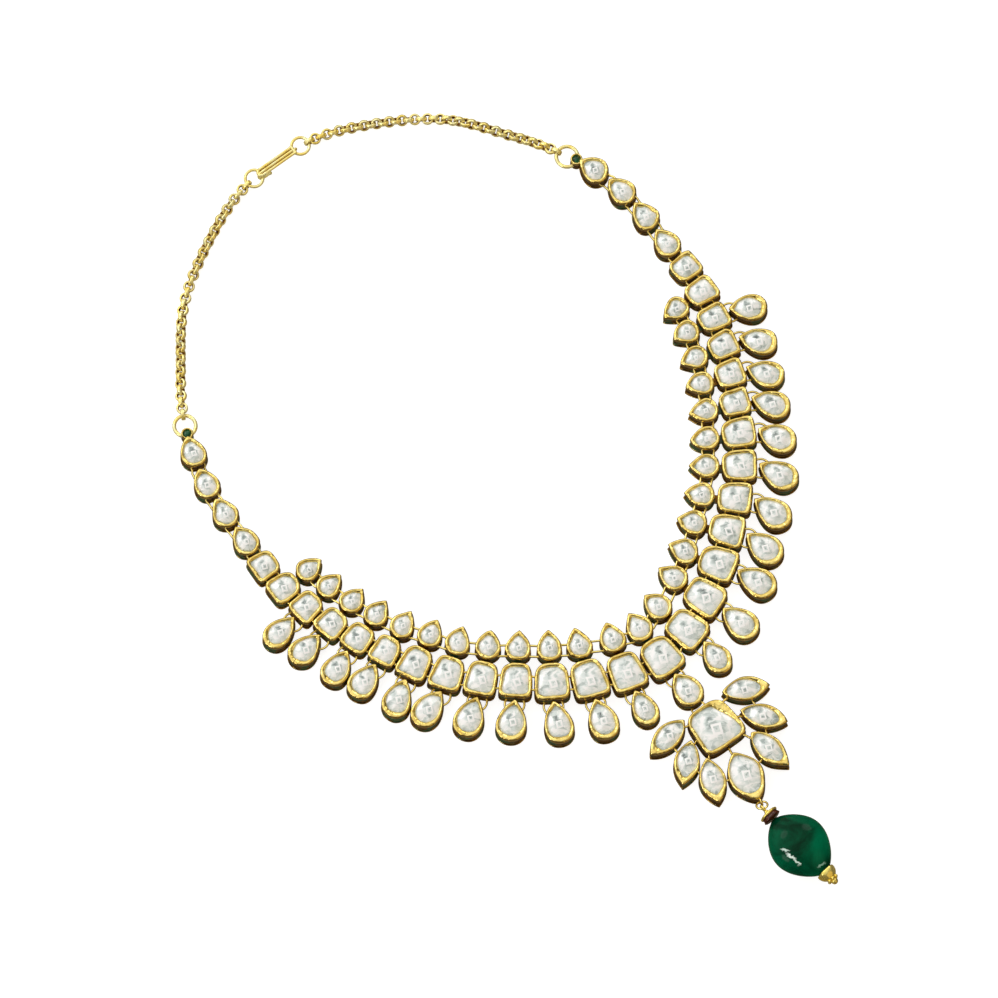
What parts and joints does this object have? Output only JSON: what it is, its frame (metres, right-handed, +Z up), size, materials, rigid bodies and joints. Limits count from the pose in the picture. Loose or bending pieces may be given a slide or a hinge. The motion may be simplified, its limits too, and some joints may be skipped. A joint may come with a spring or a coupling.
{
  "type": "necklace",
  "caption": "Gold collar necklace of foiled flat stones with pear drops, a petal pendant with a green bead, fine end chains and a closed hook clasp.",
  "frame": {"origin": "middle of the centre square case's back, on the surface the necklace lies on", "axes": "+Y from the centre square to the clasp, +Z up off the surface, +X to the viewer's right with the clasp away from the viewer"},
  "size_m": [0.1449, 0.2233, 0.0096],
  "materials": {
    "gold": "polished",
    "foiled_stone": "polished",
    "emerald": "polished",
    "green_glass": "polished",
    "rondelle": "gloss"
  },
  "bodies": {
    "root": {"centre_setting": "gold", "row_right": "gold", "row_left": "gold", "drops_right": "gold", "drops_left": "gold", "centre_stone": "foiled_stone", "centre_inner_stone": "foiled_stone", "row_stones_right": "foiled_stone", "row_stones_left": "foiled_stone", "inner_stones_right": "foiled_stone", "inner_stones_left": "foiled_stone", "drop_stones_right": "foiled_stone", "drop_stones_left": "foiled_stone", "main_wires": "gold", "inner_wires": "gold", "link_setting": "gold", "link_stone": "foiled_stone", "rosette": "gold", "rosette_stone": "foiled_stone", "petal_stone_1": "foiled_stone", "petal_stone_2": "foiled_stone", "petal_stone_3": "foiled_stone", "petal_stone_4": "foiled_stone", "petal_stone_5": "foiled_stone", "petal_stone_6": "foiled_stone", "petal_stone_7": "foiled_stone", "pendant_ring": "gold", "bead_pin": "gold", "rondelle": "rondelle", "emerald_bead": "emerald", "end_stone_right": "green_glass", "end_stone_left": "green_glass", "end_ring_right": "gold", "end_ring_left": "gold", "chain_right": "gold", "chain_left": "gold", "clasp_ring_right": "gold", "clasp_ring_left": "gold", "clasp_hook": "gold"}
  },
  "joints": []
}
